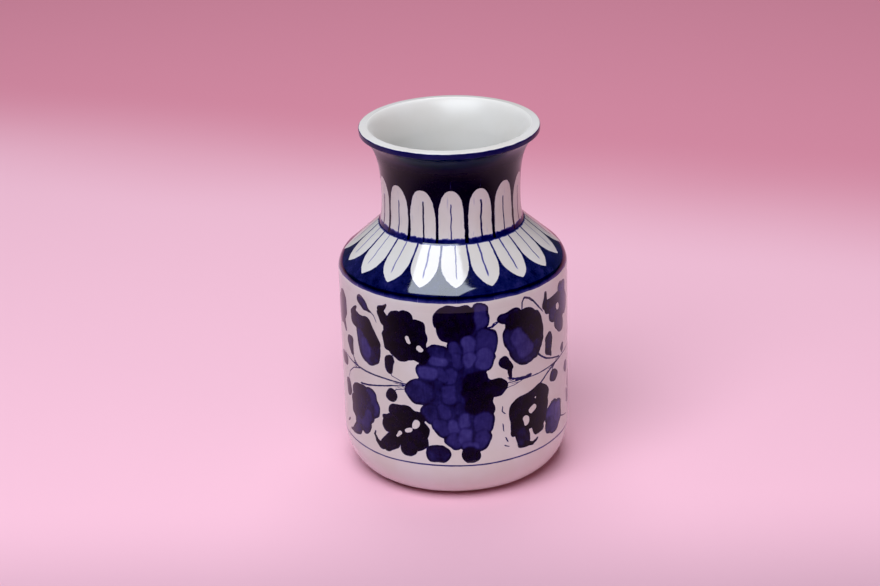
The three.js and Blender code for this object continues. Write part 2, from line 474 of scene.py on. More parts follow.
# %% Leaves and buds on its left
LEFT_LEAVES = [
    # the dark lobed leaf at the top
    (-27.5, 79.5, 8.6, -23.5, 75.5, 8.3, DARK), (-30, 86, 3.7, -29.3, 83, 4, DARK),
    (-24.8, 86.3, 3.7, -25, 83, 4, DARK), (-18.8, 82.8, 4.1, -18.5, 78, 4.3, DARK),
    (-36, 77, 2.2, -34, 73, 3, DARK), (-38.6, 86.6, 2.3, -36.5, 84, 2.6, DARK),
    (-38.9, 88, 2, -35.2, 91.3, 0.5, DARK), (-18.5, 70.5, 3.6, -16.5, 70, 3.4, DARK),
    (-31, 71.5, 3.6, -27, 70, 3.6, DARK),
    # the blue and violet leaf beside it
    (-51, 75, 6.2, -47.8, 67.2, 6.9, MIDDLE), (-50, 78.2, 4.4, -43.6, 71, 3.8, DARK),
    (-42.6, 68.6, 3, -44.6, 64.6, 3.4, DEEP), (-51, 70, 3.4, -49.8, 65.8, 3.8, PALE),
    (-58.2, 78.8, 3.8, -53, 78.8, 3.8, DEEP), (-60.8, 81.2, 2, -57, 84.6, 0.45, DEEP),
    # the buds and drops between them
    (-53.6, 89.4, 2.4, -50, 87.6, 2.3, FULL), (-50, 87.4, 2, -45.3, 85.6, 0.4, FULL),
    (-34.6, 65.5, 2.75, -34.8, 61, 1.5, DARK), (-34, 49, 2.85, -33.6, 49.6, 2.75, DARK),
    (-65, 66.2, 3.2, -63.3, 61.5, 1.4, DEEP), (-76, 55, 3.2, -72.5, 55.2, 2.9, DEEP),
    (-69.7, 44.5, 2.6, -69.3, 41.5, 3, DEEP),
    # the leaf at the edge of the view
    (-73.5, 83, 4.7, -73.5, 79.5, 4.9, DEEP), (-79, 80.5, 3.6, -77, 75, 4, DEEP),
    (-73.5, 73.5, 2.8, -70.5, 70.5, 1.2, DEEP),
    # the violet leaf below
    (-60, 43.6, 4.2, -54, 45.2, 4.3, DEEP), (-62, 38, 3.8, -61.5, 34, 3.4, DEEP),
    (-56.5, 31.5, 5.4, -53, 30.2, 4.4, FULL), (-48.5, 44.4, 4.7, -47, 40, 4.8, MIDDLE),
    (-55, 40.5, 7.4, -52.8, 37.5, 6.8, DEEP), (-50.5, 35, 3.6, -53, 30.6, 3.2, MIDDLE),
    (-60, 26, 3, -65.5, 23, 1.3, FULL),
    (-65.5, 23, 1.2, -69, 22.4, 0.5, FULL), (-73, 24.8, 0.4, -70.3, 27.3, 0.6, FULL),
    # the dark leaf with a curled tail
    (-33, 42.6, 2.7, -25, 41.8, 4, DARK), (-25, 41, 4.3, -21, 40.2, 4, DARK),
    (-28, 36.5, 5, -21, 34.5, 6, DARK), (-37, 34.8, 3.4, -31, 36.5, 4.2, DARK),
    (-38.3, 38, 1.6, -34, 38.8, 2.2, DARK), (-33, 30, 3, -29, 31, 4, DARK),
    (-21.5, 31, 5.6, -19.8, 29.5, 4.8, DARK), (-25.2, 27, 4.4, -25.2, 25.8, 4.2, DARK),
    (-34.5, 27.5, 4, -37.8, 25.2, 3.6, DARK), (-40.8, 23.4, 1.6, -44.3, 25.2, 1, DARK),
    (-44.5, 25.2, 0.9, -45.7, 27.6, 0.55, DARK), (-45.7, 27.6, 0.5, -44.9, 29.5, 0.3, DARK),
]

# %% Leaves and buds on its right
RIGHT_LEAVES = [
    # the curled leaf with a pale heart
    (33.5, 76.4, 8.7, 37.3, 70.6, 9, FULL), (24, 85.4, 2.8, 30.4, 84.9, 3.8, DEEP),
    (29.2, 82.8, 3.9, 38, 83.4, 4.5, DARK), (41, 79.4, 5.9, 44.3, 71.6, 4.6, DARK),
    (43.8, 68.4, 3.8, 42, 65.4, 2.8, DEEP), (31.6, 75.6, 4.2, 36.4, 68.8, 5.2, PALE),
    # drops and buds
    (24.3, 65.3, 2.7, 27.2, 61.8, 1.7, DARK), (27.2, 61.8, 1.5, 27.4, 57.2, 0.6, DARK),
    (53.4, 68.2, 3, 53, 63.5, 2.3, DEEP), (53, 63, 1.9, 55.2, 59.8, 0.5, DEEP),
    (57.5, 49.8, 3.1, 58.6, 49.4, 3.1, FULL), (68, 59.6, 1.9, 68.3, 58.8, 1.6, FULL),
    (74, 48, 2.6, 75, 47, 2.4, FULL),
    # the dark leaf like an open hand
    (31.9, 41.7, 4.9, 46.2, 43.7, 5.8, DARK), (31.3, 39.6, 4.1, 32, 33, 4.3, DARK),
    (31.5, 32, 3.6, 29.3, 30.8, 2.1, DARK), (34, 30, 3.7, 34.6, 25.8, 3.7, DEEP),
    (43.5, 36, 3.6, 44, 30.5, 3.6, DARK), (47, 40, 4.8, 46, 33, 3.8, DARK),
    (44.5, 29.5, 3.3, 45.3, 29.3, 3.1, DARK), (36, 23.6, 1.7, 40.5, 22.6, 1, DARK),
    (40.5, 22.6, 0.9, 43.6, 24.4, 0.45, DARK), (35, 38.5, 3, 37, 41, 3, DARK),
    (39.6, 37, 2.6, 40, 32, 2, DARK), (37, 31.4, 1.6, 39, 31, 1.4, DARK),
    # the pale wash leaf beside it
    (57, 31.5, 6.2, 58.5, 28.5, 6.4, THIN), (54, 27, 4, 56, 25.5, 3.6, MIDDLE),
    (62, 33, 3.8, 62, 29, 3.8, THIN), (52, 30, 1.8, 53.5, 25, 1.8, FULL),
    # the leaf at the edge of the view
    (50.6, 85, 1.9, 50.9, 90.8, 0.8, DEEP), (54, 83.5, 3.6, 61, 83, 4.6, DEEP),
    (59, 79, 4.6, 66, 78, 5, FULL), (63, 74, 4, 66, 71, 3.6, FULL),
    (69, 83, 4.6, 72, 79, 4.6, MIDDLE), (66, 88.5, 3, 70, 87.5, 3, THIN),
]

# %% The sprig at the side, which fills the gap to the next flower
SIDE_SPRIG = [
    (86, 86.5, 2.9, 88, 81, 3.6, FULL), (85.5, 72, 2.7, 87.5, 67, 1.4, DARK),
    (82.5, 63.5, 2.2, 84.5, 60, 1, DEEP), (93.5, 62, 3, 91, 66, 2.4, MIDDLE),
    (82.5, 39, 4.2, 88, 41, 4.6, DARK), (84, 33, 4.4, 90, 34.5, 4.4, DARK),
    (85, 27.5, 3.4, 88.5, 26, 3, DARK), (93.5, 48.5, 2.4, 94.5, 47.5, 2.2, DEEP),
    (78, 31.5, 2.4, 76.5, 35, 1.2, FULL),
]

# %% The spots left white, and the thin stems
SPOTS = [
    (-23.9, 77.6, 0.95, -23.3, 75.6, 0.9), (-18.2, 73.9, 1.05, -17, 72.9, 1.1),
    (-21.2, 37.5, 1.9, -20.6, 37.9, 1.9), (-26.3, 34.2, 1, -23.8, 34.8, 1.15),
    (-29.8, 32.2, 1.1, -31.3, 30.5, 0.75), (36.1, 35.3, 1.7, 36.4, 34, 1.6),
    (39.3, 38.5, 1.05, 41.8, 39.9, 1.15), (42.7, 44.3, 0.6, 42.7, 44.2, 0.5),
    (62.4, 80.4, 1.6, 62.6, 80.2, 1.6), (84, 39, 1, 86, 36.5, 1.1),
    (87, 32, 1.1, 87.4, 31, 0.9),
]

# Each stem has its half width at its start and its end, and the points that it passes.
STEMS = [
    (0.30, 0.42, [(-25, 56), (-38, 56.4), (-50, 56.4), (-58, 56.7)]),
    (0.42, 0.15, [(-58, 56.7), (-66, 57.4), (-74, 58.4)]),
    (0.22, 0.45, [(-25, 55.3), (-33, 54), (-41, 52.2), (-48, 50.6), (-55, 49.4)]),
    (0.15, 0.25, [(-25.5, 53.8), (-31, 52.6), (-33.5, 50.5)]),
    (0.35, 0.30, [(-57, 56.7), (-60.5, 58.4), (-63.2, 61.5)]),
    (0.25, 0.18, [(-55, 56.6), (-62, 54.6), (-67, 51.2), (-69.6, 46.5)]),
    (0.22, 0.16, [(-34.7, 61), (-33.3, 58.6), (-28, 57)]),
    (0.28, 0.15, [(-46, 85.8), (-43.4, 84.4), (-42, 82)]),
    (0.45, 0.60, [(26.5, 57.4), (30, 56.2), (36, 55.7), (39.5, 56)]),
    (0.20, 0.30, [(25, 55.2), (35, 55), (45, 54.8), (55, 55.2), (66, 56)]),
    (0.30, 0.30, [(66, 56), (78, 56.6), (90, 56.2), (104, 55.2)]),
    (0.16, 0.12, [(25.5, 53), (30, 53.6), (34, 54.6)]),
    (0.50, 0.30, [(44, 48.5), (48, 50.6), (52, 52.8), (57, 54.6), (66, 56)]),
    (0.50, 0.28, [(43, 65.5), (47, 62.4), (51, 60), (56, 58.4), (64, 56.6)]),
    (0.28, 0.20, [(56.5, 52.4), (57, 53.6), (60, 55.2)]),
    (0.30, 0.50, [(34.6, 87.5), (34.7, 90.6), (36, 92.6), (39, 91.6)]),
    (0.50, 0.22, [(39, 91.6), (42, 89.4), (45, 86.4), (48.5, 83)]),
    (0.50, 0.35, [(15.8, 82.3), (18, 82.5), (21, 84.2)]),
    (0.35, 0.12, [(18, 82.5), (18.8, 84), (20.2, 84.6)]),
    (0.26, 0.20, [(22.9, 36), (23.2, 33)]),
    (0.32, 0.26, [(24.4, 29.2), (25.3, 27.6)]),
    (0.28, 0.18, [(24, 25.7), (25.8, 25)]),
    (0.22, 0.26, [(22.9, 44.3), (22.5, 42.4), (23.8, 41.2)]),
    (0.30, 0.12, [(66, 27), (70, 25.6), (75, 24.6)]),
    (0.26, 0.20, [(86.5, 67), (86, 61), (83, 56.8)]),
    (0.24, 0.20, [(93, 62), (93, 59), (90, 56.2)]),
    (0.30, 0.24, [(86, 44.5), (86.5, 50), (89, 56.2)]),
]
print(len(FLOWER + LEFT_LEAVES + RIGHT_LEAVES + SIDE_SPRIG), "dabs and", len(STEMS), "stems on each half")

# %% [markdown]
# ## From strokes to numbers on the wall
#
# The vase has a flower on its front and one on its back, painted by the same hand. So the strokes
# are laid down twice, half a turn apart, and the second time each one lands a little differently.
#
# Each dab covers what lies under it, except along its own edge, where the wash pools and dries
# darker. A few numbers go on each point of the wall: how far it is inside the painted edge, how much
# pigment lies there, and how far it is to one side or the other of the nearest stem. A stem is
# narrower than a face of the mesh, but that sideways distance runs smoothly through it, from minus to
# plus, so the shader can still find its middle.

# %% Measuring the strokes
WALL_RADIUS = 50.0
PER_DEGREE = WALL_RADIUS * math.pi / 180
HAND_SEED = 7
SHAKE, SPOT_SHAKE, SWELL = 0.35, 0.30, 0.06  # how much a stroke changes when it is painted again
WAVERS, WAVER_ROUNDS, WAVER_SIZE = 10, (16, 56), 3.0
SOFT_EDGE, FULL_COVER = 0.4, 1.7  # from this far outside a dab's edge to this far inside, it covers more
POOL_LOAD, POOL_PLACE, POOL_WIDTH = 0.12, 0.50, 0.45  # the darker line along a dab's edge
FAR = 9.0  # millimetres, farther than any stroke reaches


def turned_half(row, hand, shake=SHAKE):
    """The same stroke on the back of the vase, as the same hand would repeat it."""
    slip = hand.normal(0, shake, 2)
    swell = 1 + hand.normal(0, SWELL)
    return (row[0] + 180 + slip[0], row[1] + slip[1], row[2] * swell,
            row[3] + 180 + slip[0], row[4] + slip[1], row[5] * swell, *row[6:])


def wavered(angle, height, hand):
    """The same points, moved a little to and fro, as an unsteady hand would put them."""
    turn = np.radians(angle)
    moved = []
    for _ in range(2):
        slip = np.zeros(len(angle))
        for _ in range(WAVERS):
            rounds = hand.integers(*WAVER_ROUNDS)
            rise, start = hand.uniform(-0.9, 0.9), hand.uniform(0, math.tau)
            slip += WAVER_SIZE / rounds * np.sin(rounds * turn + rise * height + start)
        moved.append(slip)
    return angle + moved[0] / PER_DEGREE, height + moved[1]


def inside_dab(angle, height, dab):
    """How far inside a dab each point is, in millimetres; negative outside."""
    angle_a, height_a, radius_a, angle_b, height_b, radius_b = dab[:6]
    across = ((angle - angle_a + 180) % 360 - 180) * PER_DEGREE
    up = height - height_a
    reach = np.array([(angle_b - angle_a) * PER_DEGREE, height_b - height_a])
    share = np.clip((across * reach[0] + up * reach[1]) / max(reach @ reach, 1e-6), 0, 1)
    away = np.hypot(across - share * reach[0], up - share * reach[1])
    return radius_a + (radius_b - radius_a) * share - away


def paint_strokes(piece):
    """Stores the painted edge, the pigment, and the stems on every point of a piece."""
    hand = np.random.default_rng(HAND_SEED)  # every piece gets the same strokes
    _, still_height, still_angle = places_of(piece.data)
    angle, height = wavered(still_angle, still_height, hand)
    strokes = FLOWER + LEFT_LEAVES + RIGHT_LEAVES + SIDE_SPRIG
    edge = np.full(len(height), -FAR)
    for dab in UNDER_FLOWER + [turned_half(dab, hand) for dab in UNDER_FLOWER]:
        edge = np.maximum(edge, inside_dab(angle, height, dab))
    pigment = np.full(len(height), UNDER_LOAD)
    for dab in strokes + [turned_half(dab, hand) for dab in strokes]:
        inside = inside_dab(angle, height, dab)
        edge = np.maximum(edge, inside)
        cover = np.clip((inside + SOFT_EDGE) / (SOFT_EDGE + FULL_COVER), 0, 1)
        cover = cover * cover * (3 - 2 * cover)
        pigment += (dab[6] - pigment) * cover
        pigment += POOL_LOAD * np.exp(-((inside - POOL_PLACE) / POOL_WIDTH) ** 2)
    for spot in SPOTS + [turned_half(spot, hand, SPOT_SHAKE) for spot in SPOTS]:
        edge = np.minimum(edge, -inside_dab(angle, height, spot))
    side, gap = np.full((2, len(height)), FAR)
    width = np.zeros(len(height))
    for start, end, points in STEMS:
        for turn in (0, 180):
            for number, (low, high) in enumerate(zip(points, points[1:])):
                shares = np.array([number, number + 1]) / (len(points) - 1)
                widths = start + (end - start) * shares
                near_stem(still_angle, still_height, low, high, turn, widths, (side, gap, width))
    store(piece, "painted_edge", edge)
    store(piece, "pigment", pigment)
    store(piece, "stem_side", side)
    store(piece, "stem_gap", gap)
    store(piece, "stem_width", width)
    print(f"{piece.name}: {np.mean(edge > 0):.0%} of its points are under paint")


def near_stem(angle, height, low, high, turn, widths, nearest):
    """Records one stretch of a stem wherever it is the nearest one so far."""
    side, gap, width = nearest
    across = ((angle - low[0] - turn + 180) % 360 - 180) * PER_DEGREE
    up = height - low[1]
    reach = np.array([(high[0] - low[0]) * PER_DEGREE, high[1] - low[1]])
    length = math.hypot(*reach)
    share = (across * reach[0] + up * reach[1]) / length ** 2
    beside = (across * reach[1] - up * reach[0]) / length
    past = np.maximum(np.abs(share - 0.5) - 0.5, 0) * length
    distance = np.hypot(beside, past)
    closer = distance < gap
    gap[closer] = distance[closer]
    side[closer] = np.copysign(distance, beside)[closer]
    width[closer] = (widths[0] + (widths[1] - widths[0]) * np.clip(share, 0, 1))[closer]


def store(piece, name, numbers):
    """Keeps one number for each point of a piece."""
    layer = piece.data.attributes.new(name, "FLOAT", "POINT")
    layer.data.foreach_set("value", numbers.astype(np.float32))

# %% [markdown]
# ## The painted wall
#
# The shader joins the stored numbers with noise that no mesh could hold. Noise of two sizes moves
# the painted edge in and out, as a soft brush does. The pigment is uneven too: it dries in
# blotches, and the hairs of the brush leave streaks.

# %% Flowers in the glaze
def flowers(glaze):
    """The load of pigment in the flowers, leaves and stems."""
    hand = glaze.noise(2.4) * 0.45 + glaze.noise(0.7) * 0.16
    edge = glaze.attribute("painted_edge") + hand
    blotches = glaze.noise(4.5, detail=4) * 0.7 + glaze.noise(1.4, detail=2) * 0.25
    hairs = glaze.noise(1.0, detail=1, stretch=(1, 1, 0.18)) * 0.24
    pooled = (1 - edge.between(0.2, 1.5)) * 0.14
    wash = (glaze.attribute("pigment") + pooled) * (blotches + hairs + 1)
    side = (glaze.attribute("stem_side") + glaze.noise(3.0) * 0.25).size()
    width = glaze.attribute("stem_width") * (glaze.noise(2.0) * 0.8 + 1)
    near = (width + 0.5 - glaze.attribute("stem_gap")).between(0, 0.15)
    stem = (width - side).between(-0.08, 0.10) * near
    stem_load = stem * (glaze.noise(5) * 0.8 + 0.85)
    return (edge.between(-0.08, 0.14) * wash).most(stem_load)


def floral_glaze():
    glaze = Glaze("floral_glaze")
    return finish(glaze, painted(glaze, flowers(glaze)), bends=WALL_GLAZE_BENDS)

# %% [markdown]
# ## Rows of petals
#
# The petals repeat round the vase, so here a formula is the better brush. The angle divided by the
# width of a petal gives each petal its number, and what is left over says how far across the petal a
# point is. The number also feeds a random generator, so every petal gets its own length, its own vein
# and its own weight of line, and no two are alike.

# %% Numbering the petals
def petals(glaze, count, middle, wander):
    """The number of the petal that a point is on, and its degrees from that petal's middle."""
    step = 360 / count
    angle = glaze.angle + glaze.noise(7) * wander
    turns = (angle - middle) / step + (count + 0.5)
    turns = turns.maths("MODULO", turns, count)
    number = turns.maths("FLOOR", turns)
    return number, (turns - number - 0.5) * step


def vein(glaze, number, across, per_degree, seed, width):
    """The thin line up the middle of a petal: 1 on it, 0 beside it."""
    lean = (glaze.chance(number, seed) - 0.5) * 2.6
    weight = glaze.chance(number, seed + 1) * (width * 0.8) + width * 0.5
    beside = ((across - lean + glaze.noise(6) * 1.6) * per_degree).size()
    return (weight - beside).between(-0.10, 0.12)

# %% Petals of the neck
CREASE_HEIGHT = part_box("neck")[0][2] / MM
CREASE_RADIUS = 31.2
NECK_PETALS = 15
NECK_STEP = 360 / NECK_PETALS
PETAL_STRAIGHT = CREASE_HEIGHT + 11  # above this a petal narrows to its tip
PETAL_TIP = CREASE_HEIGHT + 23.6


def brush_rings(glaze):
    """Fine lines round the pot, where the brush was held still while the wheel turned."""
    return glaze.noise(1.5, detail=2, stretch=(0.02, 0.02, 1))


def dark_neck(glaze):
    """The load of the dark band above the petals: darkest low down, bluer towards the lip."""
    up = glaze.height.between(CREASE_HEIGHT + 28, CREASE_HEIGHT + 39)
    return 1.32 - up * 0.30 + brush_rings(glaze) * (up * 0.5 + 0.1) + glaze.noise(8) * 0.25


def neck_load(glaze):
    number, across = petals(glaze, NECK_PETALS, -0.6, 1.6)
    per_degree = glaze.radius * (math.pi / 180)
    tip = (glaze.chance(number, 3) - 0.5) * 1.6 + PETAL_TIP
    rise = ((glaze.height - PETAL_STRAIGHT) / (tip - PETAL_STRAIGHT)).most(0).least(1)
    narrowing = (1 - rise * rise) ** 0.43
    spread = glaze.chance(number, 5) * 0.8 - glaze.noise(9) * 1.2 + (NECK_STEP / 2 - 1.6)
    half = narrowing * spread
    inside = (half - across.size()) * per_degree + glaze.noise(1.6) * 0.35
    outside = 1 - inside.between(-0.10, 0.14)
    vein_top = (tip - glaze.height - (glaze.chance(number, 9) * 3 + 4.5)).between(0, 1.2)
    line = vein(glaze, number, across, per_degree, 11, 0.42) * vein_top
    streaks = glaze.noise(0.9, detail=2, stretch=(1, 1, 0.12)).between(0.02, 0.30) * 0.10
    foot = (CREASE_HEIGHT + 2.4 + glaze.noise(1.8) * 1.8 - glaze.height).between(0, 1.1)
    foot_load = foot * (glaze.noise(3) * 0.6 + 0.80)
    line_load = line * (glaze.chance(number, 17) * 0.55 + 0.65)
    return (outside * dark_neck(glaze)).most(line_load).most(foot_load).most(streaks)


def soft_flare(glaze, shade=1):
    """The roughness under the flare, where the glaze ran thin and set less glossy."""
    return glaze.height.between(CREASE_HEIGHT + 24, CREASE_HEIGHT + 33) * shade * 0.22 + GLOSS


def neck_glaze():
    glaze = Glaze("neck_glaze")
    return finish(glaze, painted(glaze, neck_load(glaze)), ripple=1.2, roughness=soft_flare(glaze),
                  bends=WALL_GLAZE_BENDS)

# %% Petals of the shoulder
SHOULDER_PETALS = 19
SHOULDER_STEP = 360 / SHOULDER_PETALS
PETAL_NARROWS = 9.0  # this far down the slope a petal starts to narrow
PETAL_ENDS = 21.4
BAND_ENDS = 94.7  # the height of the lower edge of the painted shoulder


def shoulder_load(glaze):
    number, across = petals(glaze, SHOULDER_PETALS, 1.0, 1.4)
    per_degree = glaze.radius * (math.pi / 180)
    out = glaze.radius - CREASE_RADIUS
    down = CREASE_HEIGHT - glaze.height
    slope = (out * out + down * down) ** 0.5
    ends = (glaze.chance(number, 23) - 0.5) * 1.8 + PETAL_ENDS
    fall = ((slope - PETAL_NARROWS) / (ends - PETAL_NARROWS)).most(0).least(1)
    half = (1 - fall * fall) ** 0.8 * (SHOULDER_STEP / 2 - 0.62)
    inside = (half - across.size()) * per_degree + glaze.noise(1.8) * 0.40
    outside = 1 - inside.between(-0.12, 0.18)
    depth = slope.between(4, 13)
    ground = depth * 0.24 + 0.66 + glaze.noise(5, detail=3) * (depth * 0.70)
    hairs = glaze.noise(1.0, detail=1) * (depth * 0.25)
    line = vein(glaze, number, across, per_degree, 29, 0.36) * (1 - slope.between(14.5, 17.5))
    line_load = line * (glaze.chance(number, 31) * 0.42 + 0.16)
    crease = 1 - (slope + glaze.noise(2) * 0.8).between(0.3, 1.1)
    petal_row = (outside * (ground + hairs)).most(line_load).most(crease * 0.85)
    above_edge = glaze.height - BAND_ENDS + glaze.noise(6) * 0.5
    pale_edge = 1 - above_edge.between(0.4, 1.3)
    dark_line = 1 - (above_edge - 2.1).size().between(0.2, 0.8)
    band = petal_row - pale_edge * 0.35 + dark_line * 0.4
    return (band * above_edge.between(-0.15, 0.15)).most(flowers(glaze))


def shoulder_glaze():
    glaze = Glaze("shoulder_glaze")
    return finish(glaze, painted(glaze, shoulder_load(glaze)), bends=SHOULDER_GLAZE_BENDS)

# %% [markdown]
# ## The rim, the heel and the foot
#
# The lip was dipped or wiped, so the blue stops just below its top and the white of the inside
# shows over the edge. The heel is bare white glaze with one thin ring of blue, which the painter put
# on with a still brush. Under it the foot ring was wiped clean of glaze, so that it would not stick to
# the kiln shelf, and shows the sandy clay.

# %% Rim, heel and clay
NECK_RISE, FLARE_RISE, LIP_RISE = 13, 27.2, 2.9
WAIST = CREASE_HEIGHT + NECK_RISE
LIP_EDGE = WAIST + FLARE_RISE
LIP_HEIGHT = LIP_EDGE + LIP_RISE
RING_HEIGHT = 18.8  # the height of the thin blue ring on the heel


def rim_glaze():
    glaze = Glaze("rim_glaze")
    side = glaze.height.between(LIP_EDGE - 0.8, LIP_EDGE)
    load = dark_neck(glaze) * (1 - side) + side * (glaze.noise(9) * 0.3 + 0.86)
    wiped = (glaze.height + glaze.noise(5) * 0.4).between(LIP_HEIGHT - 0.62, LIP_HEIGHT - 0.42)
    gloss = soft_flare(glaze, 1 - side)
    return finish(glaze, painted(glaze, load * (1 - wiped)), ripple=1.2, roughness=gloss,
                  bends=WALL_GLAZE_BENDS)


def heel_glaze():
    glaze = Glaze("heel_glaze")
    wander = glaze.noise(40, detail=1) * 1.6 + glaze.noise(3) * 0.2
    off_ring = (glaze.height - RING_HEIGHT + wander).size()
    width = glaze.noise(6) * 0.25 + 0.36
    ring = (width - off_ring).between(-0.10, 0.12) * (glaze.noise(4) * 0.7 + 0.68)
    return finish(glaze, painted(glaze, ring.most(flowers(glaze))))


CLAY_DARK, CLAY_LIGHT, CLAY_GRIT = (0.52, 0.40, 0.28), (0.63, 0.51, 0.37), (0.34, 0.24, 0.16)


def bare_clay():
    glaze = Glaze("bare_clay")
    grain = glaze.noise(0.8, detail=4)
    patches = glaze.noise(9, detail=3).between(-0.2, 0.2)
    clay = glaze.blend(patches, CLAY_DARK, CLAY_LIGHT)
    clay = glaze.blend(grain.between(0.08, 0.3) * 0.5, clay, CLAY_GRIT)
    glaze.feed("Base Color", clay)
    glaze.feed("Roughness", grain * 0.3 + 0.85)
    bump = {"Height": grain * 0.12, "Distance": MM, "Strength": 1.0}
    glaze.feed("Normal", grain.node("ShaderNodeBump", inputs=bump))
    return glaze.material

# %% [markdown]
# ## The six sections
#
# Now each section is turned. The heights and outer radii are read from the frame, so every section
# ends exactly where its neighbour begins. In the frame the stepped joints keep a film of
# room for the slip; here the slip has been pressed out, and the faces meet.

# %% Sizes from the frame
def low(node):
    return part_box(node)[0][2] / MM


FOOT_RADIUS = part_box("foot_ring")[1][0] / MM
BODY_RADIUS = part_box("body")[1][0] / MM
MOUTH_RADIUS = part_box("rim")[1][0] / MM
FOOT_TOP, HEEL_JOINT, SHOULDER_JOINT, RIM_JOINT = low("base"), low("body"), low("shoulder"), low("rim")
BODY_WALL, NECK_WALL, FOOT_WIDTH, FLOOR = 4.5, 4.0, 6.0, 6.0
STEP = 1.6  # height of the collar in a stepped joint
JOINT_TO_CURVE = 0.7  # straight wall left between a joint and the next curve
HEEL_TOP = HEEL_JOINT - JOINT_TO_CURVE
TURN_START = SHOULDER_JOINT + STEP + JOINT_TO_CURVE
SHOULDER_ROUND = 10.0
INSIDE_ROUND = 12.0
CROWN_RADIUS, CROWN_ROUND, EDGE_ROUND = 35.4, 2.0, 0.7
LIP_FACE = 1.45  # the upright outer face of the lip, between its two rounds
CROWN_REACH, MOUTH_REACH = 2.4, 5.7  # handles of the curve from the crown down into the neck
FOOT_ROUND = 0.6
NECK_RADIUS = 30.0
FLARE = [(NECK_RADIUS, WAIST), (NECK_RADIUS + 0.2, WAIST + 0.55 * FLARE_RISE),
         (NECK_RADIUS + 2.2, LIP_EDGE - 0.155 * FLARE_RISE), (MOUTH_RADIUS - 0.2, LIP_EDGE)]
RIM_JOINED_AT = 0.4  # share of the flare below the rim's joint


def collar(outer, wall, height):
    """The top of a lower section: a ledge, and a collar on its inner half."""
    middle, inner = outer - wall / 2, outer - wall
    return [(outer, height), (middle, height), (middle, height + STEP), (inner, height + STEP)]


def socket(outer, wall, height):
    """The bottom of an upper section, which sits on that collar."""
    return collar(outer, wall, height)[::-1]


print("joints at", [round(height, 1) for height in (FOOT_TOP, HEEL_JOINT, SHOULDER_JOINT, RIM_JOINT)])

# %% The foot ring and the base
CLAY = bare_clay()
WHITE_GLAZE = white_glaze()
foot_inner = FOOT_RADIUS - FOOT_WIDTH

foot_ring = spin("turned_foot_ring", "foot_ring", [
    (CLAY, arc((foot_inner + FOOT_ROUND, FOOT_ROUND), FOOT_ROUND, 180, 270, 5)
     + arc((FOOT_RADIUS - FOOT_ROUND, FOOT_ROUND), FOOT_ROUND, -90, 0, 5)
     + collar(FOOT_RADIUS, FOOT_WIDTH, FOOT_TOP)),
], steps=320)

quarter = np.radians(np.linspace(0, 90, 45))
heel = [(FOOT_RADIUS + (BODY_RADIUS - FOOT_RADIUS) * math.sin(turn),
         FOOT_TOP + (HEEL_TOP - FOOT_TOP) * (1 - math.cos(turn))) for turn in quarter]
floor_top = FOOT_TOP + STEP + FLOOR
inside = BODY_RADIUS - BODY_WALL
base = spin("turned_base", "base", [
    (WHITE_GLAZE, straight((0, FOOT_TOP + STEP), (foot_inner, FOOT_TOP + STEP), 12)),
    (CLAY, socket(FOOT_RADIUS, FOOT_WIDTH, FOOT_TOP)),
    (heel_glaze(), heel + straight((BODY_RADIUS, HEEL_TOP), (BODY_RADIUS, HEEL_JOINT), 2)),
    (CLAY, collar(BODY_RADIUS, BODY_WALL, HEEL_JOINT)),
    (WHITE_GLAZE, [(inside, HEEL_JOINT + STEP)]
     + arc((inside - INSIDE_ROUND, floor_top + INSIDE_ROUND), INSIDE_ROUND, 0, -90, 16)
     + straight((inside - INSIDE_ROUND, floor_top), (0, floor_top), 10)),
], steps=480)
paint_strokes(base)

# %% The body
FLORAL_GLAZE = floral_glaze()
body = spin("turned_body", "body", [
    (FLORAL_GLAZE, straight((BODY_RADIUS, HEEL_JOINT), (BODY_RADIUS, SHOULDER_JOINT), 130)),
    (CLAY, collar(BODY_RADIUS, BODY_WALL, SHOULDER_JOINT)),
    (WHITE_GLAZE, straight((inside, SHOULDER_JOINT + STEP), (inside, HEEL_JOINT + STEP), 6)),
    (CLAY, socket(BODY_RADIUS, BODY_WALL, HEEL_JOINT)),
], steps=640)
paint_strokes(body)

# %% The shoulder
centre = (BODY_RADIUS - SHOULDER_ROUND, TURN_START)
to_crease = (CREASE_RADIUS - centre[0], CREASE_HEIGHT - centre[1])
slope_turn = math.degrees(math.atan2(to_crease[1], to_crease[0])
                          - math.acos(SHOULDER_ROUND / math.hypot(*to_crease)))
turn_end = arc(centre, SHOULDER_ROUND, slope_turn, slope_turn, 1)[0]
inner_turn = arc(centre, SHOULDER_ROUND - BODY_WALL, slope_turn, slope_turn, 1)[0]
neck_inside = CREASE_RADIUS - NECK_WALL
rise = (inner_turn[0] - neck_inside) / math.tan(math.radians(slope_turn))
shoulder = spin("turned_shoulder", "shoulder", [
    (shoulder_glaze(), straight((BODY_RADIUS, SHOULDER_JOINT), (BODY_RADIUS, TURN_START), 5)
     + arc(centre, SHOULDER_ROUND, 0, slope_turn, 20)
     + straight(turn_end, (CREASE_RADIUS, CREASE_HEIGHT), 14)),
    (CLAY, collar(CREASE_RADIUS, NECK_WALL, CREASE_HEIGHT)),
    (WHITE_GLAZE, straight((neck_inside, CREASE_HEIGHT + STEP), (neck_inside, inner_turn[1] + rise), 2)
     + arc(centre, SHOULDER_ROUND - BODY_WALL, slope_turn, 0, 12)),
    (CLAY, socket(BODY_RADIUS, BODY_WALL, SHOULDER_JOINT)),
], steps=640)
paint_strokes(shoulder)

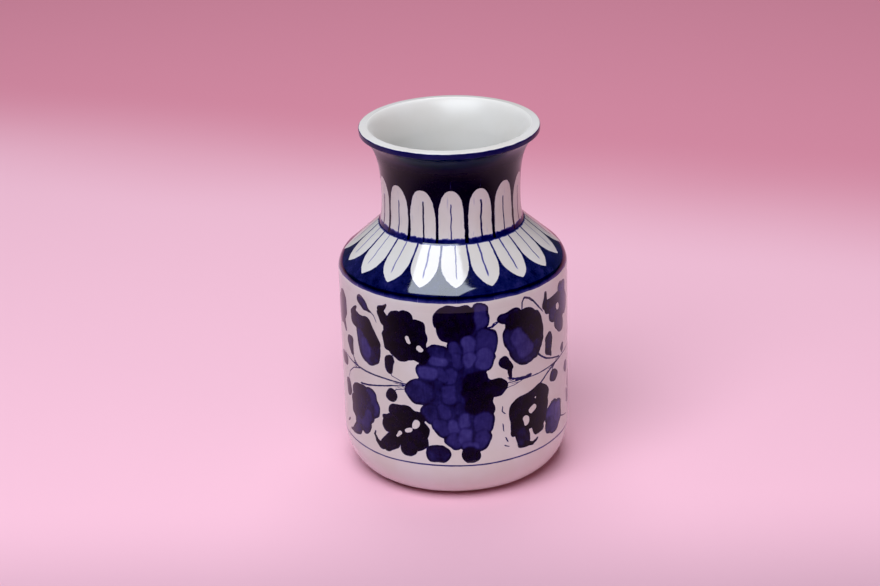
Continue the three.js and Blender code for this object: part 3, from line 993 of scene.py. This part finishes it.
# %% The neck
neck_foot = [(NECK_RADIUS + (CREASE_RADIUS - NECK_RADIUS) * (1 - share) ** 3,
              CREASE_HEIGHT + (WAIST - CREASE_HEIGHT) * share) for share in np.linspace(0, 1, 25)]
neck_flare = bezier(FLARE, 0, RIM_JOINED_AT, 26)
rim_joint = neck_flare[-1]
upward = np.subtract(neck_flare[-1], neck_flare[-2])
mouth_bottom = np.array((rim_joint[0] - NECK_WALL, rim_joint[1])) + upward * STEP / upward[1]
neck = spin("turned_neck", "neck", [
    (neck_glaze(), neck_foot + neck_flare),
    (CLAY, collar(rim_joint[0], NECK_WALL, rim_joint[1])[:-1]),
    (WHITE_GLAZE, [mouth_bottom] + moved_in(neck_flare, NECK_WALL)),
    (CLAY, socket(CREASE_RADIUS, NECK_WALL, CREASE_HEIGHT)),
], steps=360)

# %% The rim
rim_flare = bezier(FLARE, RIM_JOINED_AT, 1, 30)
low_edge = np.array((MOUTH_RADIUS - EDGE_ROUND, LIP_EDGE + EDGE_ROUND * math.sqrt(0.5)))
edge_centre = low_edge + (0, LIP_FACE)
crown_centre = np.array((CROWN_RADIUS, LIP_HEIGHT - CROWN_ROUND))
to_edge = edge_centre - crown_centre
lip_slope = math.degrees(math.atan2(to_edge[1], to_edge[0])
                         + math.acos((CROWN_ROUND - EDGE_ROUND) / np.linalg.norm(to_edge)))
lip_edge = arc(low_edge, EDGE_ROUND, -45, 0, 5) + arc(edge_centre, EDGE_ROUND, 0, lip_slope, 8)
lip_slant = straight(lip_edge[-1], arc(crown_centre, CROWN_ROUND, lip_slope, lip_slope, 1)[0], 6)
lip_crown = arc(crown_centre, CROWN_ROUND, lip_slope, 90, 6)
crown_top = np.array((CROWN_RADIUS, LIP_HEIGHT))
mouth = [crown_top, crown_top - (CROWN_REACH, 0),
         mouth_bottom + MOUTH_REACH * upward / np.linalg.norm(upward), mouth_bottom]
rim = spin("turned_rim", "rim", [
    (rim_glaze(), rim_flare + lip_edge + lip_slant + lip_crown),
    (WHITE_GLAZE, bezier(mouth, 0, 1, 36)),
    (CLAY, socket(rim_joint[0], NECK_WALL, rim_joint[1])[1:]),
], steps=360)

# %% [markdown]
# ## The table and the light
#
# The vase stands on a wide sheet of pale pink paper that runs on behind it. One large soft
# box hangs above, a little to the front and the left. It has to be large, because a glossy pot shows
# its shape: the bright field across the front of the shoulder is the soft box itself. A second one
# lights the mouth from above and behind, and a weak pink one fills the shaded side. The rest comes
# from a dim, even room, and from the paper, whose pink creeps up the heel and along both sides.

# %% The paper
# The paper's own colour, and its painted shade in front of the vase and far behind it.
PAPER, PAPER_SHADE_IN_FRONT, PAPER_SHADE_FAR_OFF = (0.88, 0.50, 0.62), (0.50, 0.29, 0.37), (0.72, 0.27, 0.37)


def paper():
    """Pale round the vase, with painted shade that makes it a little deeper in front and far behind."""
    glaze = Glaze("paper")
    x, y = (Value(glaze.tree, glaze.height.socket.node.outputs[axis]) for axis in "XY")
    # Painted shade: the paper's colour goes deeper in front of the vase and far behind it.
    near = y.between(-190, -40)
    far = (y + x * 0.35 + glaze.noise(300) * 60).between(250, 470)
    colour = glaze.blend(near, PAPER_SHADE_IN_FRONT, PAPER)
    glaze.feed("Base Color", glaze.blend(far, colour, PAPER_SHADE_FAR_OFF))
    glaze.shader.inputs["Roughness"].default_value = 0.8
    glaze.shader.inputs["Specular IOR Level"].default_value = 0.2
    return glaze.material


HALF_SHEET = 4  # metres
sheet = bmesh.new()
bmesh.ops.create_grid(sheet, x_segments=1, y_segments=1, size=HALF_SHEET)
floor_mesh = bpy.data.meshes.new("paper_sheet")
sheet.to_mesh(floor_mesh)
sheet.free()
floor_mesh.materials.append(paper())
floor = bpy.data.objects.new("paper_sheet", floor_mesh)
bpy.context.scene.collection.objects.link(floor)

# %% The lights
LIT_POINT = Vector((0, 0, 0.1))  # in metres; every light faces it


def soft_box(name, towards, distance, size, power, colour):
    """A rectangular light that faces the vase, from a direction and a distance in metres."""
    light = bpy.data.lights.new(name, "AREA")
    light.shape = "RECTANGLE"
    light.size, light.size_y = size
    light.energy = power
    light.color = colour
    lamp = bpy.data.objects.new(name, light)
    way = Vector(towards).normalized()
    lamp.location = LIT_POINT + way * distance
    lamp.rotation_euler = way.to_track_quat("Z", "Y").to_euler()
    lamp.visible_camera = False
    bpy.context.scene.collection.objects.link(lamp)
    return lamp


soft_box("soft_box", (-0.19, -0.47, 0.80), 1.60, (1.36, 1.12), 30.0, (0.86, 0.94, 1.0))
fill = soft_box("pink_fill", (0.80, -0.55, 0.10), 1.50, (0.9, 0.5), 2.6, (1.0, 0.60, 0.64))
fill.visible_glossy = False  # a fill this small would leave a hard pink patch on the glaze
soft_box("overhead", (0, 0.42, 1.0), 1.70, (1.1, 1.0), 11.5, (0.94, 0.96, 1.0))

world = bpy.data.worlds.new("room")
world.use_nodes = True
room = world.node_tree.nodes["Background"]
room.inputs["Color"].default_value = (0.92, 0.82, 0.87, 1)
room.inputs["Strength"].default_value = 0.11
bpy.context.scene.world = world

view = bpy.context.scene.view_settings
view.view_transform = "Standard"
view.use_curve_mapping = True  # the darkest pigment has to come out black, not grey
view.curve_mapping.black_level = (0.0155, 0.0095, 0.0135)
view.curve_mapping.update()
